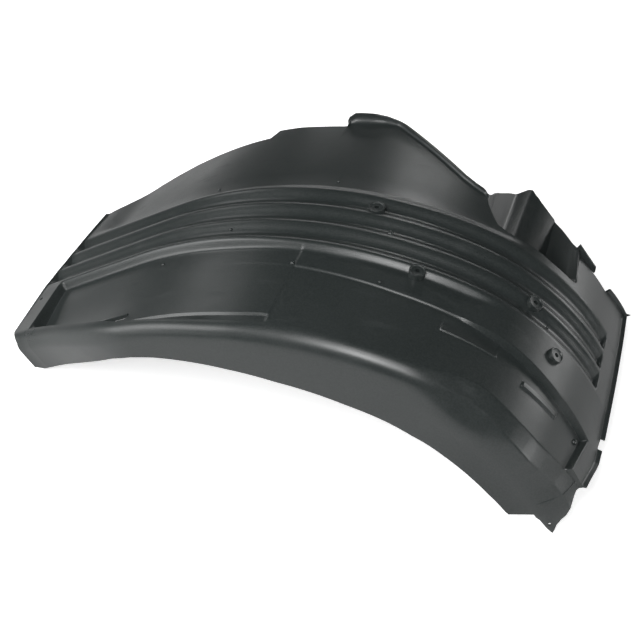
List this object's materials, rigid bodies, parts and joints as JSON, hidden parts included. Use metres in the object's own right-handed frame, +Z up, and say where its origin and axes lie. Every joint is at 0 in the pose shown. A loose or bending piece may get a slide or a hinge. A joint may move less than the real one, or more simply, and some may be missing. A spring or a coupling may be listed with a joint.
{
  "type": "truck mudguard",
  "caption": "Arched plastic truck mudguard shell with lengthwise ribs, a deep side skirt, turned-up end flanges, a side pocket and fixing bosses.",
  "frame": {"origin": "middle of the box, at the level of its lowest points", "axes": "+X along the arch towards its steep rear end, +Y from the skirt side to the far side, +Z up"},
  "size_m": [0.882, 0.5442, 0.2562],
  "materials": {
    "black_plastic": "satin moulded plastic, fine grain, slight scuffing"
  },
  "bodies": {
    "root": {"mudguard": "black_plastic"}
  },
  "joints": []
}
